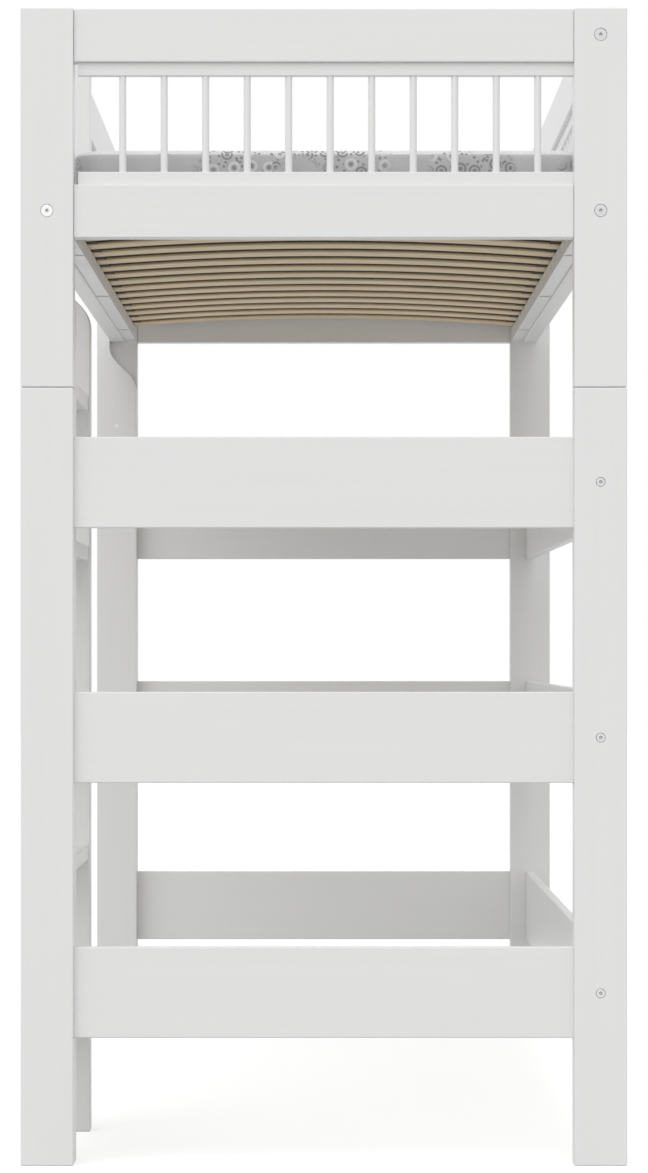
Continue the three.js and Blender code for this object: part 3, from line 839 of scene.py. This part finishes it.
def curve_points():
    """Inner edge of the flowing cut from its top down, as (x, z) with x towards the bed."""
    curve = settings("curve")
    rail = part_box("left_bed_rail")[0]
    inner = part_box("ladder_front_upright")[1][0]
    bend = math.pi / 4
    steps = 8

    def arc(radius):
        angles = [bend * i / steps for i in range(steps + 1)]
        return [(radius * (1 - math.cos(angle)), radius * math.sin(angle)) for angle in angles]

    tongue = rail[0] - curve.tongue_gap
    top = rail[2] - curve.drop
    hollow = [(tongue + x, top - z) for x, z in arc(curve.hollow_radius)]
    across, down = arc(curve.round_radius)[-1]
    foot = hollow[-1][1] - (inner - across - hollow[-1][0]) * math.tan(bend) - down
    return hollow + [(inner - x, foot + z) for x, z in reversed(arc(curve.round_radius))]


def flowing_cutter(front, rear, top):
    """A block over the inner side, drawn down along the flowing cut."""
    points = curve_points()
    beyond = points[-1][0] + 20 * MM
    obj = add_block("cutter", (points[0][0], front, points[0][1]), (beyond, rear, top))
    select_parts(obj, "FACE", lambda face: face.normal.z < -0.9)
    for (x, z), (next_x, next_z) in zip(points, points[1:]):
        bpy.ops.mesh.extrude_region_move(TRANSFORM_OT_translate={"value": (0, 0, next_z - z)})
        share = (beyond - next_x) / (beyond - x)
        bpy.ops.transform.resize(value=(share, 1, 1), center_override=(beyond, 0, next_z))
    bpy.ops.object.mode_set(mode="OBJECT")
    return obj


def add_upright(node, head_from, arris):
    """An upright with its flowing cut. head_from is the height above which it is whole again."""
    low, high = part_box(node)
    obj = add_block(node + "_timber", low, high)
    cut(obj, flowing_cutter(low[1] - 10 * MM, high[1] + 10 * MM, head_from))
    bevel_edges(obj, is_corner, arris, 3)
    sink_bolt_heads(obj, low, high)
    smooth(obj)
    hand_over(obj, lacquer_material("z"), "lacquer", node)


class LOFTBED_OT_ladder(bpy.types.Operator):
    """Ladder uprights, its steps and the shaped board at the rear"""

    bl_idname = "loftbed.ladder"
    bl_label = "Ladder"

    def execute(self, context):
        arris = settings("timber").arris
        rail_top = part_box("left_bed_rail")[1][2]
        add_upright("ladder_entry_post", rail_top, arris)
        for node in ("ladder_front_upright", "rear_support_board"):
            add_upright(node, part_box(node)[1][2] + 20 * MM, arris)
        for i in range(1, 6):
            add_board(f"ladder_step_{i}", "y", arris, is_along("y"))
        return {"FINISHED"}


# Slats and bearers

def slat_lift(x):
    share = x / SLATS_HIGH[0]
    return settings("slats").rise * (1 - share * share)


class LOFTBED_OT_slats(bpy.types.Operator):
    """Bowed slats and their two webbing bands"""

    bl_idname = "loftbed.slats"
    bl_label = "Slats"

    def execute(self, context):
        slats = settings("slats")
        low, high = SLATS_LOW, SLATS_HIGH
        top = low[2] + slats.thickness
        first = add_block("slat", low, (high[0], low[1] + slats.width, top))
        bevel_edges(first, is_along("x"), slats.edge, 5)
        select_parts(first, "EDGE", lambda edge: abs(edge.verts[1].co.x - edge.verts[0].co.x) > 100 * MM)
        bpy.ops.mesh.subdivide(number_cuts=slats.steps - 1)
        bpy.ops.object.mode_set(mode="OBJECT")
        layer = first.data.attributes.new("ply", "FLOAT", "POINT")
        for vertex in first.data.vertices:
            layer.data[vertex.index].value = (vertex.co.z - low[2]) / slats.thickness
        for i in range(slats.steps + 1):
            x = low[0] + i * (high[0] - low[0]) / slats.steps
            select_parts(first, "VERT", lambda vertex: abs(vertex.co.x - x) < 1 * MM)
            bpy.ops.transform.translate(value=(0, 0, slat_lift(x)))
            bpy.ops.object.mode_set(mode="OBJECT")
        smooth(first)
        pitch = (high[1] - low[1] - slats.width) / (slats.count - 1)
        for i in range(slats.count):
            slat = copied(first, f"bed_slat_{i + 1}", Matrix.Translation((0, i * pitch, 0)))
            hand_over(slat, birch_material(), "birch", "bed_slats")
        bpy.data.objects.remove(first)
        for side, way in (("left", -1), ("right", 1)):
            outer = way * (high[0] - slats.band_inset)
            # Black webbing, partly real and partly painted shade at the slats' ends
            start, end = sorted((outer, outer - way * slats.band_width))
            band = add_block(
                f"slat_band_{side}",
                (start, low[1] + 2 * MM, top - slats.band_thickness),
                (end, high[1] - 2 * MM, top),
            )
            bevel_edges(band, is_along("y"), 0.4 * MM, 2)
            smooth(band)
            hand_over(band, webbing_and_painted_shade_material(), "birch", "bed_slats")
        return {"FINISHED"}


def pocket_places():
    pocket = settings("pockets")
    front, rear = CAD_BOX[0][1], CAD_BOX[1][1]
    return [front + pocket.from_face, (front + rear) / 2, rear - pocket.from_face]


class LOFTBED_OT_bearers(bpy.types.Operator):
    """Slat bearers with their screw pockets and screws"""

    bl_idname = "loftbed.bearers"
    bl_label = "Slat Bearers"

    def execute(self, context):
        timber = settings("timber")
        pocket = settings("pockets")
        radius = settings("fittings").bearer_screw
        screws = []
        for node in ("left_slat_bearer", "right_slat_bearer"):
            low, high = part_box(node)
            obj = add_block(node + "_timber", low, high)
            bevel_edges(obj, is_along("y"), timber.bearer_arris, 2)
            middle = (low[0] + high[0]) / 2
            for y in pocket_places():
                place = Vector((middle, y, low[2] + pocket.depth))
                mouth = (middle, y, low[2] - 3 * MM)
                cut(obj, add_cylinder("pocket", pocket.diameter / 2, mouth, place, ROUND_SIDES))
                screws.append(add_screw_head(place, Vector((0, 0, -1)), radius))
            smooth(obj, 30)
            hand_over(obj, lacquer_material("y"), "lacquer", node)
        hand_over(join("bearer_screws", screws), screw_material(), "zinc")
        return {"FINISHED"}


# Fittings

def add_screw_head(place, out, radius):
    """A low domed screw head with a cross recess, looking out of the wood."""
    head = add_cylinder("screw_head", radius, (0, 0, -1.5 * MM), (0, 0, 0.6 * MM), 24)
    round_rim(head, 1, 0.0, 0.5 * MM, 2)
    for turn in (0, 1):
        half = [radius * 0.65, 0.45 * MM]
        if turn:
            half.reverse()
        cut(head, add_block("cross", (-half[0], -half[1], -0.7 * MM), (half[0], half[1], 2 * MM)))
    smooth(head)
    turn = Vector((0, 0, 1)).rotation_difference(out).to_matrix().to_4x4()
    head.data.transform(Matrix.Translation(place) @ turn)
    return head


def add_bolt(name, radius, length):
    """A connecting bolt that looks up: rimmed head with a hexagon socket, shank and barrel nut."""
    fit = settings("fittings")
    head = add_cylinder(name, radius, (0, 0, -fit.head_depth), (0, 0, 0), ROUND_SIDES)
    round_rim(head, 1, -1 * MM, fit.head_arris, 3)
    shank = add_cylinder("shank", fit.shank_radius, (0, 0, -length), (0, 0, -2 * MM), 24)
    round_rim(shank, -1, -10 * MM, 0.6 * MM, 2)
    for part in (head, shank):
        floor = (0, 0, -fit.socket_depth)
        cut(part, add_cylinder("socket", fit.socket_radius, floor, (0, 0, 2 * MM), 6))
    nut_z = fit.nut_from_end - length
    reach = fit.nut_length / 2
    nut = add_cylinder("nut", fit.nut_radius, (-reach, 0, nut_z), (reach, 0, nut_z), 32)
    bevel_edges(nut, is_corner, 0.5 * MM, 2)
    bolt = join(name, [head, shank, nut])
    smooth(bolt)
    # Faces inside the socket take the second material, painted near-black as the shade in the recess
    for face in bolt.data.polygons:
        middle = face.center
        central = math.hypot(middle.x, middle.y) < fit.socket_radius
        sunk = -fit.socket_depth * 1.02 < middle.z < -0.05 * MM
        face.material_index = 1 if central and sunk else 0
    return bolt


class LOFTBED_OT_fittings(bpy.types.Operator):
    """Connecting bolts and the screws of the uprights"""

    bl_idname = "loftbed.fittings"
    bl_label = "Fittings"

    def execute(self, context):
        fit = settings("fittings")
        # Painted light and shade: a lit copy of the zinc for the ladder's side and a shaded copy for the
        # other side
        bright = zinc_material("Painted Lit Zinc", fit.bright)
        masters = {}
        for node in bolt_nodes():
            low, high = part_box(node)
            radius = round(head_radius(node), 5)
            if radius not in masters:
                masters[radius] = add_bolt("bolt_master", radius, high[1] - low[1])
            face, way = bolt_face(node)
            turn = Matrix.Rotation(math.pi / 2 * (-way), 4, "X")
            bolt = copied(masters[radius], node + "_fitting", Matrix.Translation(face) @ turn)
            left = "_left_" in node or "entry" in node
            finish = bright if left else zinc_material("Painted Shaded Zinc", fit.shaded_zinc)
            hand_over(bolt, finish, "zinc", node)
            # Second material: the painted shade inside the socket
            bolt.data.materials.append(painted_socket_shade_material())
        for master in masters.values():
            bpy.data.objects.remove(master)
        place = bolt_face("support_board_screw")[0]
        # The rear board's screw takes the lit copy of the zinc, its painted light
        screw = add_screw_head(place, Vector((0, -1, 0)), fit.board_screw)
        hand_over(screw, bright, "zinc", "support_board_screw")
        return {"FINISHED"}


# Mattress

def underside_height(x, y):
    """Lowest height of the cover: on the slats, and a little lower between two of them."""
    slats = settings("slats")
    start, end = SLATS_LOW[1], SLATS_HIGH[1]
    top = SLATS_LOW[2] + slats.thickness + slat_lift(x) + settings("mattress").rest_gap
    pitch = (end - start - slats.width) / (slats.count - 1)
    beyond = (y - start) % pitch - slats.width
    if start < y < end and beyond > 0:
        top -= settings("mattress").sag * math.sin(math.pi * beyond / (pitch - slats.width))
    return top


def add_mattress_form(low, high):
    """A block with rounded corners, a narrow roll round the top and an even grid of faces."""
    look = settings("mattress")
    obj = add_block("mattress_cover", low, high)
    bevel_edges(obj, is_along("z"), look.corner, 8)
    round_rim(obj, 1, high[2] - 0.1 * MM, look.rim, 8)
    round_rim(obj, -1, low[2] + 0.1 * MM, look.foot, 4)
    bpy.ops.object.mode_set(mode="EDIT")
    spans = {
        "x": (low[0] + look.corner, high[0] - look.corner),
        "y": (low[1] + look.corner, high[1] - look.corner),
        "z": (low[2] + look.foot, high[2] - look.rim),
    }
    for axis, (start, end) in spans.items():
        count = max(2, round((end - start) / look.grid))
        for i in range(1, count):
            place = along(axis, start + (end - start) * i / count)
            bpy.ops.mesh.select_all(action="SELECT")
            bpy.ops.mesh.bisect(plane_co=place, plane_no=along(axis, 1.0))
    bpy.ops.object.mode_set(mode="OBJECT")
    return obj


def shape_mattress(obj, low, high):
    """Crowns the top, draws the sides in and lays the underside over the bowed slats."""
    look = settings("mattress")
    middle = (Vector(low) + Vector(high)) / 2
    half = (Vector(high) - Vector(low)) / 2
    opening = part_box("ladder_entry_post")[0][1] - 30 * MM
    for vertex in obj.data.vertices:
        co = vertex.co
        x = (co.x - middle.x) / half.x
        y = (co.y - middle.y) / half.y
        share = (co.z - low[2]) / (high[2] - low[2])
        if co.z > high[2] - look.rim * 0.1:
            co.z += look.crown * (1 - abs(x) ** 4) * (1 - abs(y) ** 4)
        else:
            near_side = max(0.0, 1 - (1 - abs(x)) * SIDE_ZONES)
            near_end = max(0.0, 1 - (1 - abs(y)) * END_ZONES)
            pull = look.draw_in * math.sin(math.pi * share) ** 2
            if x < 0 and co.y < opening:
                co.x -= look.ease * near_side
            co.x -= math.copysign(pull, x) * near_side
            co.y -= math.copysign(pull, y) * near_end
        co.z += (1 - share) * (underside_height(co.x, 0.0) - low[2])


def swell(obj, cap):
    """Lets the cover swell over its foam, with no point moving further than the cap."""
    before = [v.co.copy() for v in obj.data.vertices]
    scene = bpy.context.scene
    make_active(obj)
    cloth = obj.modifiers.new("Cloth", "CLOTH")
    for key, value in CLOTH.items():
        setattr(cloth.settings, key, value)
    cloth.settings.effector_weights.gravity = 0.0
    for number in range(1, CLOTH_FRAMES + 1):
        scene.frame_set(number)
    bpy.ops.object.modifier_apply(modifier="Cloth")
    scene.frame_set(1)
    for vertex, start in zip(obj.data.vertices, before):
        move = vertex.co - start
        if move.length > cap:
            vertex.co = start + move.normalized() * cap


def keep_in_space(obj, low, high):
    """Keeps the cover in the space of its solid and on top of the slats, but for the ladder opening."""
    opening_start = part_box("ladder_front_upright")[1][1] + 1 * MM
    opening_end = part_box("ladder_entry_post")[0][1] - 15 * MM
    ease = settings("mattress").ease
    for vertex in obj.data.vertices:
        beside_opening = opening_start < vertex.co.y < opening_end
        for i in range(3):
            lowest = low[i] - ease if i == 0 and beside_opening else low[i]
            vertex.co[i] = min(max(vertex.co[i], lowest), high[i])
        vertex.co.z = max(vertex.co.z, underside_height(vertex.co.x, vertex.co.y))


def sew_seam(obj, height, depth, width):
    """A shallow seam round the sides at one height."""
    make_active(obj)
    bpy.ops.object.mode_set(mode="EDIT")
    for shift in (-width / 2, 0.0, width / 2):
        bpy.ops.mesh.select_all(action="SELECT")
        bpy.ops.mesh.bisect(plane_co=(0, 0, height + shift), plane_no=(0, 0, 1))
    bpy.ops.object.mode_set(mode="OBJECT")
    select_parts(obj, "VERT", lambda vertex: abs(vertex.co.z - height) < 0.2 * MM)
    bpy.ops.transform.shrink_fatten(value=-depth)
    bpy.ops.object.mode_set(mode="OBJECT")


def lay_print(obj, low, high):
    """A flat map for the print, which runs on from the front over the top."""
    layer = obj.data.uv_layers.new(name="print")
    rise = high[2] - low[1]
    for face in obj.data.polygons:
        normal = [abs(value) for value in face.normal]
        widest = normal.index(max(normal))
        for corner in face.loop_indices:
            co = obj.data.vertices[obj.data.loops[corner].vertex_index].co
            flat = {0: (co.y, co.z), 1: (co.x, co.z), 2: (co.x, co.y + rise)}[widest]
            layer.data[corner].uv = flat


class LOFTBED_OT_mattress(bpy.types.Operator):
    """Foam mattress in its printed cover, with a rolled rim and an underside painted near-black as shade
    """

    bl_idname = "loftbed.mattress"
    bl_label = "Mattress"

    def execute(self, context):
        look = settings("mattress")
        low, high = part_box("mattress")
        bottom = SLATS_LOW[2] + settings("slats").thickness
        form_low = (low[0] + look.shrink, low[1] + look.shrink, bottom)
        form_high = (high[0] - look.shrink, high[1] - look.shrink, high[2] - look.crown)
        obj = add_mattress_form(form_low, form_high)
        shape_mattress(obj, form_low, form_high)
        swell(obj, look.cap)
        keep_in_space(obj, low, high)
        apply_modifier(obj, "SUBSURF", levels=1, render_levels=1)
        keep_in_space(obj, low, high)
        sew_seam(obj, seam_height(), look.seam, look.seam_width)
        lay_print(obj, low, high)
        make_active(obj)
        bpy.ops.object.shade_smooth()
        hand_over(obj, cover_material(), "cover", "mattress", body=MATTRESS_BODY)
        # Faces that look down take the underside painted near-black as shade
        obj.data.materials.append(painted_shade_underside_material())
        for face in obj.data.polygons:
            face.material_index = 1 if face.normal.z < -0.6 else 0
        return {"FINISHED"}


# Stage

def seen_directly(tree):
    """1 to the camera, to gloss and through glass, and 0 to the rest."""
    path = add_node(tree, "LightPath").outputs
    seen = path["Is Camera Ray"]
    for label in ("Is Glossy Ray", "Is Transmission Ray"):
        seen = math_node(tree, "MAXIMUM", seen, path[label])
    return seen


class LOFTBED_OT_stage(bpy.types.Operator):
    """Pale floor, soft light and the camera at the photograph's viewing angle"""

    bl_idname = "loftbed.stage"
    bl_label = "Stage"

    def execute(self, context):
        stage = settings("stage")
        scene = context.scene
        scene.view_settings.view_transform = "Standard"
        bpy.ops.mesh.primitive_plane_add(size=stage.floor_size)
        floor = context.object
        floor.name = "floor"
        material, tree, shader = new_material(
            "Pale Floor", base_color=stage.floor, roughness=0.9, emission_color=WHITE
        )
        shader.inputs["Specular IOR Level"].default_value = 0.0
        glow = times(tree, seen_directly(tree), stage.floor_glow)
        feed_inputs(tree, shader, emission_strength=glow)
        floor.data.materials.append(material)

        world = bpy.data.worlds.new("Studio")
        world.use_nodes = True
        scene.world = world
        tree = world.node_tree
        lift = times(tree, seen_directly(tree), 1 - stage.sky)
        strength = math_node(tree, "ADD", lift, stage.sky)
        feed_inputs(tree, tree.nodes["Background"], color=WHITE, strength=strength)

        lamp = bpy.data.lights.new("key", "SUN")
        lamp.energy = stage.key
        lamp.angle = KEY_SPREAD
        key = bpy.data.objects.new("key", lamp)
        scene.collection.objects.link(key)
        key.rotation_euler = KEY_DIRECTION.to_track_quat("-Z", "Y").to_euler()

        data = bpy.data.cameras.new("camera")
        data.sensor_fit = "VERTICAL"
        data.sensor_height = 36.0
        data.lens = stage.lens
        data.shift_x = SHIFT_X
        data.shift_y = SHIFT_Y
        data.clip_end = 200.0
        camera = bpy.data.objects.new("camera", data)
        scene.collection.objects.link(camera)
        camera.location = (0.0, CAD_BOX[0][1] - stage.distance, stage.eye_height)
        camera.rotation_euler = (math.pi / 2, 0, 0)
        scene.camera = camera
        return {"FINISHED"}


OPERATORS = [
    LOFTBED_OT_stage,
    LOFTBED_OT_posts,
    LOFTBED_OT_end_boards,
    LOFTBED_OT_side_boards,
    LOFTBED_OT_guards,
    LOFTBED_OT_ladder,
    LOFTBED_OT_slats,
    LOFTBED_OT_bearers,
    LOFTBED_OT_fittings,
    LOFTBED_OT_mattress,
]


class LOFTBED_PT_panel(bpy.types.Panel):
    """Lists the pieces of the loft bed and their settings"""

    bl_idname = "LOFTBED_PT_panel"
    bl_label = "Loft Bed"
    bl_space_type = "VIEW_3D"
    bl_region_type = "UI"
    bl_category = "Loft Bed"

    def draw(self, context):
        for kind, group in SETTINGS.items():
            box = self.layout.box()
            box.label(text=kind.title())
            for name in group.__annotations__:
                box.prop(settings(kind), name)
        for operator in OPERATORS:
            self.layout.operator(operator.bl_idname)


def register():
    for group in SETTINGS.values():
        bpy.utils.register_class(group)
    for kind, group in SETTINGS.items():
        setattr(bpy.types.Scene, f"loft_bed_{kind}", bpy.props.PointerProperty(type=group))
    for item in OPERATORS + [LOFTBED_PT_panel]:
        bpy.utils.register_class(item)


def unregister():
    for item in reversed(OPERATORS + [LOFTBED_PT_panel]):
        bpy.utils.unregister_class(item)
    for kind, group in SETTINGS.items():
        delattr(bpy.types.Scene, f"loft_bed_{kind}")
        bpy.utils.unregister_class(group)


def main():
    register()
    for operator in OPERATORS:
        getattr(bpy.ops.loftbed, operator.bl_idname.split(".")[1])()


if __name__ == "__main__":
    main()
